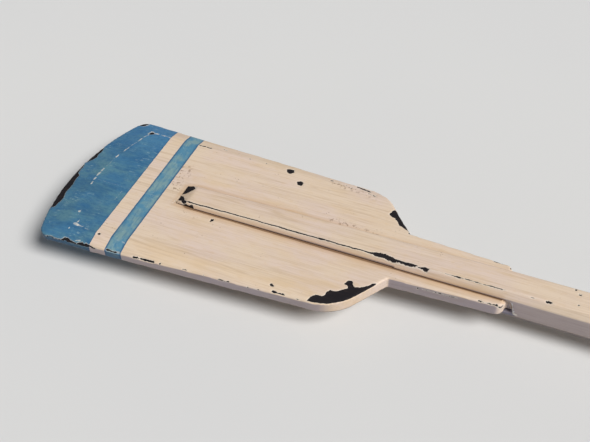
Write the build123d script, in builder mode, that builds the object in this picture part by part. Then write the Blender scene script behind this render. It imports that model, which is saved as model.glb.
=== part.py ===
from build123d import *
import math
import os

# A rowing oar, lying with its button on the ground, blade towards -X and grip towards +X,
# in millimetres. One spar makes the loom and the grip. Its outboard end is slotted into two
# tines, which straddle a single flat blade board and its neck (a bridle joint) and are held
# by blind pegs. Inboard the spar is round, and carries a stitched leather sleeve and a button
# of two straps. A name that ends in "_at" is a distance along the oar from the blade's tip.

os.makedirs("parts", exist_ok=True)

# ---- Driving dimensions ----

overall_length = 1524.0

# Blade board
blade_length = 316.0            # tip to the inner corners where the neck starts
blade_tip_width = 173.0         # the long edges' spread, measured at the tip
blade_shoulder_width = 142.0
shoulder_run = 33.0             # along the oar, from the shoulder's corner to the neck
shoulder_radius = 40.0
shoulder_skew = 2.0             # the +Y shoulder ends this much inboard, the other outboard
tip_arc_radius = 208.0
tip_crown_offset = -11.0        # the tip's arc is centred a little to one side
tip_corner_radius = 11.0
board_thickness = 12.5
tip_thinning = 2.0              # taken off the back, from the tine's end to the tip

# Neck of the board, held in the loom's slot
neck_length = 93.0
neck_root_width = 55.0
neck_end_width = 46.0
neck_offset = 1.6               # its middle line stands a little to +Y
neck_corner_radius = 8.0
neck_end_chamfer = 3.0
tongue_inset = 3.0              # from the loom's sides

# Bevelled border on the blade's face
tip_border_width = 25.0
tip_border_drop = 4.0
side_border_width = 15.6        # at the tip; the crest and the edge draw together inboard
side_border_end_width = 6.8     # at the shoulder
side_border_drop = 4.4          # across side_border_width, and in proportion elsewhere
tip_facet_half_sweep = 40.0     # turned far enough to pass both long edges
tip_facet_reach = 2.0           # cut on past the tip, to this many widths of the border

# Loom: two tapered tines over the blade, then eight-sided, then rounded
tine_at = 108.0
tine_ramp_length = 14.0
tine_end_height = 5.0           # above the board, where the ramp ends
spar_width = 29.5
spar_depth = 31.0
spar_chamfer_across = 3.75
spar_chamfer_down = 7.3
straight_past_slot = 81.0       # eight-sided and of one size, before it grows and rounds
slot_end_clearance = 1.0        # past the neck's end and its tongue
slot_end_slant = 9.0            # how much further the slot runs on the back
slot_end_ease = 6.0             # length of the handles that bend its S
round_margin = 0.4              # outboard, by which the round clears the eight sides
taper_radius = 18.0             # where the inboard loom meets the grip
grip_radius = 16.0
grip_length = 120.0
grip_shoulder_length = 18.0
grip_end_round = 6.0

# Leather sleeve
sleeve_radius = 21.0            # of the wood under the leather
sleeve_length = 220.0
sleeve_thickness = 3.0
sleeve_to_grip_end = 400.0
seam_gap = 0.8
seam_angle = 120.0              # round the loom, from +Y towards +Z
thread_diameter = 0.9
stitch_pitch = 8.0
stitch_reach = 4.5              # to each side of the seam
stitch_margin = 14.0            # of the seam left bare at each end

# Button
button_to_sleeve_end = 14.0
inner_strap_width = 24.0
outer_strap_width = 16.0
strap_thickness = 3.2
strap_edge_radius = 1.0
strap_end_gap = 0.6
inner_strap_gap_angle = 215.0
outer_strap_gap_angle = 55.0

# Pegs and tacks
peg_radius = 4.0
peg_count = 3
peg_from_tine_end = 52.0
peg_from_neck_end = 33.0
peg_cover = 2.5                 # wood left over each peg's blind end
tack_head_radius = 3.0
tack_head_height = 1.2
tack_head_round = 0.9
tack_shank_radius = 0.9
tack_bite = 7.0                 # length of each shank in the wood
tacks_per_ring = 6
tack_ring_inset = 6.0
button_tack_count = 5

# ---- Worked out from them ----

sleeve_outer_radius = sleeve_radius + sleeve_thickness
inner_strap_radius = sleeve_outer_radius + strap_thickness
button_radius = inner_strap_radius + strap_thickness
axis_z = button_radius
face_z = axis_z + board_thickness / 2
back_z = axis_z - board_thickness / 2
shoulder_at = blade_length - shoulder_run
neck_end_at = blade_length + neck_length
slot_face_end_at = neck_end_at + slot_end_clearance
slot_back_end_at = slot_face_end_at + slot_end_slant
swell_at = slot_back_end_at + straight_past_slot
round_radius = math.hypot(spar_width / 2 - spar_chamfer_across, spar_depth / 2) + round_margin
sleeve_end_at = overall_length - sleeve_to_grip_end
sleeve_start_at = sleeve_end_at - sleeve_length
button_end_at = sleeve_end_at - button_to_sleeve_end
button_start_at = button_end_at - inner_strap_width
button_middle_at = (button_start_at + button_end_at) / 2
grip_at = overall_length - grip_length
full_height = 3 * button_radius  # anything this far out is clear of the whole oar
corner_reach = 1.0               # how far a corner may lie from where it is looked for
loom_axis = Axis((0, 0, axis_z), (1, 0, 0))


def along(at):
    """X of a distance from the tip."""
    return at - overall_length / 2


def cross_plane(at):
    """Square to the oar and centred on its axis: local X is +Y and local Y is up."""
    return Plane(origin=(along(at), 0, axis_z), x_dir=(0, 1, 0), z_dir=(1, 0, 0))


def outwards(angle):
    """The direction of a radius of the loom."""
    return Vector(0, math.cos(math.radians(angle)), math.sin(math.radians(angle)))


def seat(at, angle, radius):
    """Where a tack sits: its normal points out of the loom."""
    middle = Vector(along(at), 0, axis_z) + outwards(angle) * radius
    return Location(Plane(origin=middle, x_dir=(1, 0, 0), z_dir=outwards(angle)))


def tine_height(at):
    """How far a tine stands above the board."""
    root_height = (spar_depth - board_thickness) / 2
    share = (at - tine_at - tine_ramp_length) / (neck_end_at - tine_at - tine_ramp_length)
    return tine_end_height + (root_height - tine_end_height) * share


def eight_sided(at, width, depth):
    """The spar's section at one place, with chamfers of one size throughout."""
    right = width / 2
    top = depth / 2
    flat = right - spar_chamfer_across
    side = top - spar_chamfer_down
    with BuildSketch(cross_plane(at)) as section:
        with BuildLine():
            Polyline((flat, top), (right, side), (right, -side), (flat, -top),
                     (-flat, -top), (-right, -side), (-right, side), (-flat, top), close=True)
        make_face()
    return section.sketch


def slot_end_handles(outboard):
    """The S of the slot's end, from the face side to the back, moved outboard by a gap."""
    face_end = slot_face_end_at - outboard
    back_end = slot_back_end_at - outboard
    return [(along(face_end), face_z), (along(face_end + slot_end_ease), face_z),
            (along(back_end - slot_end_ease), back_z), (along(back_end), back_z)]


# ---- Places that repeat ----

peg_first_at = tine_at + peg_from_tine_end
peg_last_at = neck_end_at - peg_from_neck_end
peg_step = (peg_last_at - peg_first_at) / (peg_count - 1)
peg_ats = [peg_first_at + peg_step * number for number in range(peg_count)]

ring_ats = [sleeve_start_at + tack_ring_inset, sleeve_end_at - tack_ring_inset]
ring_angles = [seam_angle + 360 / tacks_per_ring * (number + 0.5) for number in range(tacks_per_ring)]
sleeve_seats = [seat(at, angle, sleeve_outer_radius) for at in ring_ats for angle in ring_angles]
button_angles = [90 + 360 / button_tack_count * number for number in range(button_tack_count)]
button_seats = [seat(button_middle_at, angle, button_radius) for angle in button_angles]
sleeve_shank = sleeve_thickness + tack_bite
button_shank = button_radius - sleeve_radius + tack_bite


def cut_shanks():
    """In the block of a part that tacks go through: their holes."""
    for seats, shank in ((sleeve_seats, sleeve_shank), (button_seats, button_shank)):
        with Locations(*seats):
            Cylinder(tack_shank_radius, shank, align=(Align.CENTER, Align.CENTER, Align.MAX),
                     mode=Mode.SUBTRACT)


def cut_pegs():
    """In the block of a part that pegs go through: their holes, open at the back."""
    for at in peg_ats:
        with Locations((along(at), 0, face_z + tine_height(at) - peg_cover)):
            Cylinder(peg_radius, full_height, align=(Align.CENTER, Align.CENTER, Align.MAX),
                     mode=Mode.SUBTRACT)


# ---- Blade board ----

half_tip = blade_tip_width / 2
half_shoulder = blade_shoulder_width / 2
edge_taper = (half_tip - half_shoulder) / shoulder_at
arc_centre_x = along(tip_arc_radius)


def tip_corner(side):
    """Where the tip's arc meets a long edge: the edge is near enough straight across the sag."""
    y = side * half_tip
    sag = tip_arc_radius - math.sqrt(tip_arc_radius ** 2 - (y - tip_crown_offset) ** 2)
    return (along(sag), side * (half_tip - edge_taper * sag))


with BuildPart() as blade_board:
    with BuildSketch(Plane.XY.offset(back_z)) as outline:
        with BuildLine():
            near_corner = tip_corner(-1)
            far_corner = tip_corner(1)
            ThreePointArc(near_corner, (along(0), tip_crown_offset), far_corner)
            Polyline(
                far_corner,
                (along(shoulder_at), half_shoulder),
                (along(blade_length + shoulder_skew), neck_offset + neck_root_width / 2),
                (along(neck_end_at), neck_offset + neck_end_width / 2),
                (along(neck_end_at), neck_offset - neck_end_width / 2),
                (along(blade_length - shoulder_skew), neck_offset - neck_root_width / 2),
                (along(shoulder_at), -half_shoulder),
                near_corner,
            )
        make_face()
        corners = outline.vertices().sort_by(Axis.X)
        fillet(corners[:2], tip_corner_radius)
        for at, radius in ((shoulder_at, shoulder_radius), (neck_end_at, neck_corner_radius)):
            corners = outline.vertices().filter_by_position(
                Axis.X, along(at) - corner_reach, along(at) + corner_reach)
            fillet(corners, radius)
    extrude(amount=board_thickness)

    # The neck's end, eased on the face.
    with BuildSketch(Plane.XZ):
        with BuildLine():
            Polyline((along(neck_end_at - neck_end_chamfer), face_z), (along(neck_end_at), face_z),
                     (along(neck_end_at), face_z - neck_end_chamfer), close=True)
        make_face()
    extrude(amount=neck_root_width, both=True, mode=Mode.SUBTRACT)

    # A tongue on the neck's end, shaped to the end of the slot.
    with BuildSketch(Plane.XZ):
        with BuildLine():
            tongue_end = Bezier(*slot_end_handles(slot_end_clearance))
            tongue_root = along(neck_end_at - neck_end_chamfer)
            Polyline(tongue_end @ 1, (tongue_root, back_z), (tongue_root, face_z), tongue_end @ 0)
        make_face()
    extrude(amount=spar_width / 2 - tongue_inset, both=True)

    # The border's long facets: each is one plane, out from a straight crest.
    crest_start = half_tip - side_border_width
    crest_end = half_shoulder - side_border_end_width
    facet_slope = side_border_drop / side_border_width
    for side in (-1, 1):
        start = Vector(along(0), side * crest_start, face_z)
        end = Vector(along(shoulder_at), side * crest_end, face_z)
        facet = Plane(origin=start, x_dir=(0, 0, 1), z_dir=end - start)
        with BuildSketch(facet):
            with BuildLine():
                Polyline((0, 0), (-half_tip * facet_slope, -side * half_tip),
                         (0, -side * half_tip), close=True)
            make_face()
        extrude(amount=blade_length, mode=Mode.SUBTRACT)

    # The border's tip facet: a shallow cone round the tip arc's centre.
    cone_axis = Axis((arc_centre_x, tip_crown_offset, 0), (0, 0, 1))
    cone_start = math.radians(tip_facet_half_sweep)
    with BuildSketch(Plane(
        origin=(arc_centre_x, tip_crown_offset, face_z),
        x_dir=(-math.cos(cone_start), math.sin(cone_start), 0),
        z_dir=(math.sin(cone_start), math.cos(cone_start), 0),
    )):
        with BuildLine():
            crest_radius = tip_arc_radius - tip_border_width
            cut_radius = crest_radius + tip_facet_reach * tip_border_width
            cut_drop = tip_facet_reach * tip_border_drop
            Polyline((crest_radius, 0), (cut_radius, -cut_drop), (cut_radius, 0), close=True)
        make_face()
    revolve(axis=cone_axis, revolution_arc=2 * tip_facet_half_sweep, mode=Mode.SUBTRACT)

    # The back, thinned from the tine's end to the tip. The wedge runs on past the tip.
    wedge_length = tine_at + tip_corner_radius
    wedge_rise = tip_thinning * wedge_length / tine_at
    with BuildSketch(Plane.XZ):
        with BuildLine():
            Polyline((along(tine_at), back_z), (along(tine_at - wedge_length), back_z),
                     (along(tine_at - wedge_length), back_z + wedge_rise), close=True)
        make_face()
    extrude(amount=blade_tip_width, both=True, mode=Mode.SUBTRACT)
    cut_pegs()

blade_board.part.label = "blade_board"
export_step(blade_board.part, "parts/blade_board.step")

# ---- Loom, with its tines and grip ----

with BuildPart() as loom:
    spar_end = 2 * sleeve_outer_radius
    loft(
        sections=[
            eight_sided(tine_at, spar_width, board_thickness + 2 * tine_height(tine_at)),
            eight_sided(neck_end_at, spar_width, spar_depth),
        ],
        ruled=True,
    )
    loft(
        sections=[
            eight_sided(neck_end_at, spar_width, spar_depth),
            eight_sided(swell_at, spar_width, spar_depth),
        ],
        ruled=True,
    )
    loft(
        sections=[
            eight_sided(swell_at, spar_width, spar_depth),
            eight_sided(sleeve_start_at, spar_end, spar_end),
        ],
        ruled=True,
    )
    with BuildSketch(cross_plane(sleeve_start_at)):
        Rectangle(spar_end, spar_end)
    extrude(amount=overall_length - sleeve_start_at)

    # Turned to its rounds inboard; outboard this only clears the eight sides.
    with BuildSketch(Plane.XZ):
        with BuildLine():
            Polyline(
                (along(tine_at), axis_z),
                (along(tine_at), axis_z + round_radius),
                (along(swell_at), axis_z + round_radius),
                (along(sleeve_start_at), axis_z + sleeve_radius),
                (along(sleeve_end_at), axis_z + sleeve_radius),
                (along(grip_at - grip_shoulder_length), axis_z + taper_radius),
                (along(grip_at), axis_z + grip_radius),
                (along(overall_length), axis_z + grip_radius),
                (along(overall_length), axis_z),
                close=True,
            )
        make_face()
    revolve(axis=loom_axis, mode=Mode.INTERSECT)
    fillet(loom.edges().filter_by(GeomType.CIRCLE).sort_by(Axis.X)[-1], grip_end_round)

    # The tines' ramped ends, and the slot with its slanting, S-shaped end.
    with BuildSketch(Plane.XZ):
        for side in (-1, 1):
            board_side = axis_z + side * board_thickness / 2
            with BuildLine():
                Polyline(
                    (along(tine_at), board_side),
                    (along(tine_at + tine_ramp_length), board_side + side * tine_end_height),
                    (along(tine_at), board_side + side * full_height),
                    close=True,
                )
            make_face()
        with BuildLine():
            slot_end = Bezier(*slot_end_handles(0))
            Polyline(slot_end @ 1, (along(0), back_z), (along(0), face_z), slot_end @ 0)
        make_face()
    extrude(amount=full_height, both=True, mode=Mode.SUBTRACT)
    cut_pegs()
    cut_shanks()

loom.part.label = "loom"
export_step(loom.part, "parts/loom.step")

# ---- Joint pegs ----

with BuildPart() as joint_pegs:
    for at in peg_ats:
        peg_top = face_z + tine_height(at) - peg_cover
        peg_bottom = back_z - tine_height(at - peg_radius)
        with BuildSketch(Plane.XY.offset(peg_bottom)):
            with Locations((along(at), 0)):
                Circle(peg_radius)
        extrude(amount=peg_top - peg_bottom)

joint_pegs.part.label = "joint_pegs"
export_step(joint_pegs.part, "parts/joint_pegs.step")

# ---- Leather sleeve and its seam ----

with BuildPart() as leather_sleeve:
    with BuildSketch(cross_plane(sleeve_start_at)):
        Circle(sleeve_outer_radius)
        Circle(sleeve_radius, mode=Mode.SUBTRACT)
        Rectangle(full_height, seam_gap, rotation=seam_angle,
                  align=(Align.MIN, Align.CENTER), mode=Mode.SUBTRACT)
    extrude(amount=sleeve_length)
    cut_shanks()

leather_sleeve.part.label = "leather_sleeve"
export_step(leather_sleeve.part, "parts/leather_sleeve.step")

stitch_span = math.degrees(stitch_reach / sleeve_outer_radius)
stitch_room = button_start_at - sleeve_start_at - 2 * stitch_margin
stitch_count = int(stitch_room / stitch_pitch) + 1
stitch_start = outwards(seam_angle - stitch_span)
with BuildPart() as sleeve_stitching:
    with BuildSketch(Plane(origin=(along(sleeve_start_at + stitch_margin), 0, axis_z),
                           x_dir=(1, 0, 0), z_dir=Vector(1, 0, 0).cross(stitch_start))):
        for number in range(stitch_count):
            with Locations((number * stitch_pitch, sleeve_outer_radius + thread_diameter / 2)):
                Circle(thread_diameter / 2)
    revolve(axis=loom_axis, revolution_arc=2 * stitch_span)

sleeve_stitching.part.label = "sleeve_stitching"
export_step(sleeve_stitching.part, "parts/sleeve_stitching.step")


# ---- Button ----

def strap(width, inner_radius, gap_angle):
    """A leather strap wrapped once round, with its ends butted and its outer arrises eased."""
    with BuildPart() as ring:
        with BuildSketch(cross_plane(button_middle_at - width / 2)):
            Circle(inner_radius + strap_thickness)
            Circle(inner_radius, mode=Mode.SUBTRACT)
        extrude(amount=width)
        rims = ring.faces().filter_by(GeomType.CYLINDER).sort_by(SortBy.RADIUS)[-1].edges()
        fillet(rims.filter_by(GeomType.CIRCLE), strap_edge_radius)
        with BuildSketch(cross_plane(button_middle_at - width / 2)):
            Rectangle(full_height, strap_end_gap, rotation=gap_angle,
                      align=(Align.MIN, Align.CENTER))
        extrude(amount=width, mode=Mode.SUBTRACT)
        cut_shanks()
    return ring


button_inner_strap = strap(inner_strap_width, sleeve_outer_radius, inner_strap_gap_angle)
button_inner_strap.part.label = "button_inner_strap"
export_step(button_inner_strap.part, "parts/button_inner_strap.step")

button_outer_strap = strap(outer_strap_width, inner_strap_radius, outer_strap_gap_angle)
button_outer_strap.part.label = "button_outer_strap"
export_step(button_outer_strap.part, "parts/button_outer_strap.step")


# ---- Tacks ----

def tacks(seats, shank):
    """Copper tacks with rounded heads, one at each seat."""
    with BuildPart() as tack:
        Cylinder(tack_shank_radius, shank, align=(Align.CENTER, Align.CENTER, Align.MAX))
        Cylinder(tack_head_radius, tack_head_height, align=(Align.CENTER, Align.CENTER, Align.MIN))
        fillet(tack.edges().sort_by(Axis.Z)[-1], tack_head_round)
    with BuildPart() as group:
        with Locations(*seats):
            add(tack.part)
    return group


sleeve_tacks = tacks(sleeve_seats, sleeve_shank)
sleeve_tacks.part.label = "sleeve_tacks"
export_step(sleeve_tacks.part, "parts/sleeve_tacks.step")

button_tacks = tacks(button_seats, button_shank)
button_tacks.part.label = "button_tacks"
export_step(button_tacks.part, "parts/button_tacks.step")
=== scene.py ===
import math

import bmesh
import bpy
import numpy as np
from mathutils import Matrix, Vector, noise
from mathutils.bvhtree import BVHTree


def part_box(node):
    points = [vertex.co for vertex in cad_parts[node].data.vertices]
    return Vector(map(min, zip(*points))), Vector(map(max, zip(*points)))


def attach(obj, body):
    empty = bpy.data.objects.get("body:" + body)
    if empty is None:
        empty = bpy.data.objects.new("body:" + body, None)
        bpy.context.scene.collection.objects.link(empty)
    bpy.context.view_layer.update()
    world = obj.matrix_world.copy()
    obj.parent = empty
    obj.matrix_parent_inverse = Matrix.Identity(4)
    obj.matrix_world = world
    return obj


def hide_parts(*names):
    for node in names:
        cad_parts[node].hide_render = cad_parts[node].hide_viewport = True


# Looks for the rowing oar: chipped cream and blue paint on the blade and loom, a stitched
# leather sleeve, a two-strap button and copper tacks. Lengths are metres unless a comment
# says millimetres. Places in the wear lists are (distance from the tip, distance from the
# middle line) in millimetres. Flakes are outlines of such points. Strokes are lines of such
# points, each with a radius.

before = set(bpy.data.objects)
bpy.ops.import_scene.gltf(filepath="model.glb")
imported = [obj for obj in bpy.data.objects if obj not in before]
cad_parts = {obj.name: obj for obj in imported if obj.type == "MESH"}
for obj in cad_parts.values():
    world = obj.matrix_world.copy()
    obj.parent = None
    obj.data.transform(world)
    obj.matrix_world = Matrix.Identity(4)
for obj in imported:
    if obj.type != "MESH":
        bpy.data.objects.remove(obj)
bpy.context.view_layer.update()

MM = 0.001

blade_low, blade_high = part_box("blade_board")
loom_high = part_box("loom")[1]
sleeve_low, sleeve_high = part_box("leather_sleeve")
tip_x = blade_low.x
face_z = blade_high.z
back_z = blade_low.z
axis_z = (face_z + back_z) / 2
wood_radius = loom_high.y  # of the loom under the leather
loom_half_width = 14.75 * MM  # of the loom's eight-sided length
sleeve_radius = sleeve_high.y


def along(distance):
    """X of a distance in millimetres from the tip."""
    return tip_x + distance * MM


# ---- Camera, floor and lights ----

AZIMUTH = math.radians(21.6)
ELEVATION = math.radians(45.6)
CAMERA_DISTANCE = 395.7  # millimetres inboard of the tip
CAMERA_SIDE = -0.4404
CAMERA_HEIGHT = 0.4912  # above the blade's face
FOCAL_LENGTH = 47.63  # millimetres
SENSOR_WIDTH = 36.0

KEY_SPREAD = math.radians(28)
KEY_STRENGTH = 3.75
KEY_COLOUR = (1.0, 0.985, 0.955)
KEY_DIRECTION = (-0.66, 0.17, -0.80)
WALL_COLOUR = (0.86, 0.92, 1.0, 1.0)
WALL_STRENGTH = 0.60
CEILING_STRENGTH = 0.11
CEILING_START = 0.55  # 1 is straight up


def add_object(name, data):
    obj = bpy.data.objects.new(name, data)
    bpy.context.scene.collection.objects.link(obj)
    return obj


def add_camera():
    data = bpy.data.cameras.new("camera")
    data.lens = FOCAL_LENGTH
    data.sensor_width = SENSOR_WIDTH
    data.clip_start = 0.01
    camera = add_object("camera", data)
    camera.location = (along(CAMERA_DISTANCE), CAMERA_SIDE, face_z + CAMERA_HEIGHT)
    level = math.cos(ELEVATION)
    ahead, aside = math.cos(AZIMUTH) * level, -math.sin(AZIMUTH) * level
    look = Vector((aside, ahead, -math.sin(ELEVATION)))
    camera.rotation_euler = look.to_track_quat("-Z", "Y").to_euler()
    bpy.context.scene.camera = camera


def add_lights():
    bpy.context.scene.view_settings.view_transform = "Standard"
    # A broad and distant key light, so its shadows are soft. It comes from the grip's side.
    data = bpy.data.lights.new("key", "SUN")
    data.angle = KEY_SPREAD
    data.energy = KEY_STRENGTH
    data.color = KEY_COLOUR
    key = add_object("key", data)
    key.rotation_euler = Vector(KEY_DIRECTION).to_track_quat("-Z", "Y").to_euler()
    # A pale wall all round, dimmer towards the ceiling.
    world = bpy.data.worlds.new("studio")
    bpy.context.scene.world = world
    world.use_nodes = True
    tree = world.node_tree
    direction = tree.nodes.new("ShaderNodeTexCoord")
    height = tree.nodes.new("ShaderNodeSeparateXYZ")
    tree.links.new(direction.outputs["Generated"], height.inputs[0])
    wall = tree.nodes.new("ShaderNodeMapRange")
    wall.interpolation_type = "SMOOTHSTEP"
    tree.links.new(height.outputs[2], wall.inputs["Value"])
    wall.inputs["From Max"].default_value = CEILING_START
    wall.inputs["To Min"].default_value = WALL_STRENGTH
    wall.inputs["To Max"].default_value = CEILING_STRENGTH
    background = tree.nodes["Background"]
    background.inputs["Color"].default_value = WALL_COLOUR
    tree.links.new(wall.outputs[0], background.inputs["Strength"])


# ---- Shader graphs ----

class Graph:
    """A material's node tree, built by short calls. A value is a number, a colour or a socket."""

    def __init__(self, name):
        self.material = bpy.data.materials.new(name)
        self.material.use_nodes = True
        self.tree = self.material.node_tree
        self.shader = self.tree.nodes["Principled BSDF"]
        coordinates = self.add("ShaderNodeTexCoord")
        self.position = coordinates.outputs["Object"]
        self.facing = coordinates.outputs["Normal"]

    def add(self, kind, inputs=None, **settings):
        node = self.tree.nodes.new(kind)
        for key, value in settings.items():
            setattr(node, key, value)
        for key, value in (inputs or {}).items():
            self.feed(node.inputs[key], value)
        return node

    def feed(self, socket, value):
        if isinstance(value, bpy.types.NodeSocket):
            self.tree.links.new(value, socket)
        elif isinstance(value, tuple) and len(value) == 3 and socket.type == "RGBA":
            socket.default_value = (*value, 1.0)
        else:
            socket.default_value = value

    def math(self, operation, first, second=0.0, third=0.0):
        node = self.add("ShaderNodeMath", {0: first, 1: second, 2: third}, operation=operation)
        return node.outputs[0]

    def times(self, first, second):
        return self.math("MULTIPLY", first, second)

    def scaled(self, value, factor, base):
        """Value times factor, plus base."""
        return self.math("MULTIPLY_ADD", value, factor, base)

    def finished(self, colour, rough, relief=None, **others):
        """The material, once its surface shader has its inputs."""
        inputs = {"Base Color": colour, "Roughness": rough, **others}
        if relief is not None:
            inputs["Normal"] = relief
        for name, value in inputs.items():
            self.feed(self.shader.inputs[name], value)
        return self.material

    def mix(self, share, first, second):
        node = self.add("ShaderNodeMix", data_type="RGBA")
        self.feed(node.inputs["Factor"], share)
        self.feed(node.inputs[6], first)
        self.feed(node.inputs[7], second)
        return node.outputs[2]

    def step(self, value, low, high, start=0.0, end=1.0):
        """Start below low, end above high, and smooth between."""
        node = self.add("ShaderNodeMapRange", {
            "Value": value, "From Min": low, "From Max": high, "To Min": start, "To Max": end,
        }, interpolation_type="SMOOTHSTEP")
        return node.outputs[0]

    def stretched(self, scale, offset=(0.0, 0.0, 0.0)):
        node = self.add("ShaderNodeMapping", {
            "Vector": self.position, "Scale": scale, "Location": offset,
        })
        return node.outputs[0]

    def noise(self, scale, detail=3.0, roughness=0.5, offset=(0.0, 0.0, 0.0), distortion=0.0):
        """Noise from 0 to 1 whose scale is one number or three, in features per metre."""
        if isinstance(scale, (int, float)):
            scale = (scale, scale, scale)
        node = self.add("ShaderNodeTexNoise", {
            "Vector": self.stretched(scale, offset), "Scale": 1.0, "Detail": detail,
            "Roughness": roughness, "Distortion": distortion,
        })
        return node.outputs["Fac"]

    def sway(self, *settings):
        """Noise from -0.5 to 0.5."""
        return self.math("SUBTRACT", self.noise(*settings), 0.5)

    def layered(self, colour, layers):
        """The colour with patches of others over it. Each layer is a colour, the noise's
        settings, where on the noise its patches start and are full, and their full share."""
        for tint, settings, low, high, share in layers:
            patches = self.step(self.noise(*settings), low, high, 0.0, share)
            colour = self.mix(patches, colour, tint)
        return colour

    def attribute(self, name):
        node = self.add("ShaderNodeAttribute", attribute_name=name)
        return node.outputs["Fac"]

    def coordinate(self, axis):
        node = self.add("ShaderNodeSeparateXYZ", {0: self.position})
        return node.outputs[axis]

    def bump(self, height, distance, strength=1.0, under=None):
        inputs = {"Height": height, "Distance": distance, "Strength": strength}
        if under is not None:
            inputs["Normal"] = under
        return self.add("ShaderNodeBump", inputs).outputs[0]


def rgb(red, green, blue):
    """A colour given as it looks, 0 to 255, as the numbers that a shader takes."""
    def one(value):
        share = value / 255
        return share / 12.92 if share <= 0.04045 else ((share + 0.055) / 1.055) ** 2.4
    return (one(red), one(green), one(blue))


# ---- Paint ----

CREAM = rgb(219, 199, 178)
CREAM_PINK = rgb(217, 197, 184)
CREAM_WARM = rgb(214, 188, 155)
CREAM_OLD_AND_SHADE = rgb(190, 166, 140)
UNDERCOAT_AND_HIGHLIGHT = rgb(226, 220, 208)
BARE_DARK = rgb(22, 18, 23)
BARE_BROWN = rgb(50, 39, 34)
GRIME = rgb(112, 78, 50)
TAN = rgb(188, 150, 108)
SIDE_SHADE_GREY = rgb(116, 111, 132)
SIDE_SHADE_NAVY = rgb(32, 50, 78)
SHADE_GREY = rgb(46, 48, 70)
SLOT_SHADE_GREY = rgb(108, 106, 124)
SLOT_LIT_PALE = rgb(236, 238, 250)
BLUE = rgb(62, 112, 148)
BLUE_DEEP = rgb(38, 85, 125)
BLUE_TEAL = rgb(86, 129, 146)
BLUE_FAR = rgb(66, 120, 164)
BLUE_PALE = rgb(150, 178, 184)
BAND_BLUE = rgb(84, 134, 162)
BAND_TEAL = rgb(120, 152, 158)

# Where the colours change, in millimetres from the tip.
TIP_PAINT_END = 63.2
BAND_START = 77.9
BAND_END = 93.5
GRIP_START = 1396.0
SLEEVE_START = (sleeve_low.x - tip_x) / MM
SLEEVE_END = (sleeve_high.x - tip_x) / MM


def grain_lines(graph, scale, offset, width):
    """Thin wandering lines along the oar, where the wood's grain shows through the paint."""
    level = graph.sway(scale, 2, 0.5, offset, 0.3)
    return graph.step(graph.math("ABSOLUTE", level), 0.0, width, 1.0, 0.0)


def cream_colour(graph):
    """Brushed cream: warm and pink clouds, and fine streaks along the oar."""
    colour = graph.layered(CREAM, [
        (CREAM_PINK, ((14, 34, 34), 4, 0.55), 0.40, 0.62, 1.0),
        (CREAM_WARM, ((10, 40, 40), 5, 0.65, (3.1, 0.4, 0)), 0.46, 0.70, 0.8),
        (CREAM_WARM, ((190, 320, 320), 3, 0.6, (7.1, 0, 0)), 0.50, 0.72, 0.35),
    ])
    faint = graph.step(graph.noise((8, 26, 26), 3, 0.6, (9.4, 2.2, 0)), 0.36, 0.62)
    lines = graph.times(grain_lines(graph, (5, 150, 150), (0, 1.7, 0.3), 0.035), faint)
    colour = graph.mix(graph.times(lines, 0.5), colour, CREAM_OLD_AND_SHADE)
    fine = grain_lines(graph, (9, 420, 420), (2.0, 0, 0), 0.05)
    colour = graph.mix(graph.times(fine, 0.28), colour, CREAM_OLD_AND_SHADE)
    brushed = ((22, 900, 900), 3, 0.55, (2.0, 5.0, 0))
    return graph.layered(colour, [(CREAM_OLD_AND_SHADE, brushed, 0.50, 0.75, 0.4)])


def speckle(graph, scale, low, high, offset):
    """Sparse dots: centres of cells, few of them switched on by slow noise."""
    cells = graph.add("ShaderNodeTexVoronoi", {
        "Vector": graph.stretched((scale * 0.7, scale, scale), offset), "Scale": 1.0,
    })
    dots = graph.step(cells.outputs["Distance"], 0.10, 0.24, 1.0, 0.0)
    chosen = graph.step(graph.noise(scale * 0.23, 2, 0.6, offset), low, high)
    return graph.times(dots, chosen)


def tip_blue_colour(graph):
    """Brushed blue, fresher on the far half and rubbed pale in places."""
    colour = graph.layered(BLUE, [
        (BLUE_TEAL, ((34, 60, 60), 5, 0.65, (0.7, 0, 0)), 0.40, 0.66, 1.0),
        (BLUE_DEEP, ((16, 40, 40), 5, 0.65, (4.3, 1.2, 0)), 0.48, 0.68, 0.6),
    ])
    fresh = graph.step(graph.coordinate(1), 10 * MM, 75 * MM, 0.0, 0.75)
    colour = graph.layered(graph.mix(fresh, colour, BLUE_FAR), [
        (BLUE_DEEP, ((260, 420, 420), 4, 0.65, (8.8, 0, 0)), 0.44, 0.66, 0.38),
        (BLUE_TEAL, ((34, 520, 520), 4, 0.65, (1.2, 0.5, 0)), 0.48, 0.70, 0.5),
    ])
    worn = graph.times(
        graph.step(graph.noise((170, 560, 560), 4, 0.7, (5.2, 0, 0)), 0.54, 0.70),
        graph.step(graph.noise(40, 3, 0.6, (2.2, 3.1, 0)), 0.44, 0.62),
    )
    return graph.mix(graph.times(worn, 0.55), colour, BLUE_PALE)


def band_colour(graph, distance):
    """The narrow band's blue, brushed across the blade, with deeper blue along its rims."""
    colour = graph.layered(BAND_BLUE, [
        (BAND_TEAL, (60, 4, 0.6, (8.3, 0, 0)), 0.42, 0.60, 1.0),
        (BLUE, ((420, 60, 420), 4, 0.65, (6.1, 0.2, 0)), 0.48, 0.68, 0.55),
        (BLUE_PALE, ((330, 260, 330), 3, 0.6, (1.1, 6.2, 0)), 0.56, 0.72, 0.4),
    ])
    middle = (BAND_START + BAND_END) / 2
    half = (BAND_END - BAND_START) / 2
    from_middle = graph.math("ABSOLUTE", graph.math("SUBTRACT", distance, middle))
    rim = graph.step(from_middle, half - 2.4, half - 0.4, 0.0, 0.8)
    return graph.mix(rim, colour, BLUE_DEEP)


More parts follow.
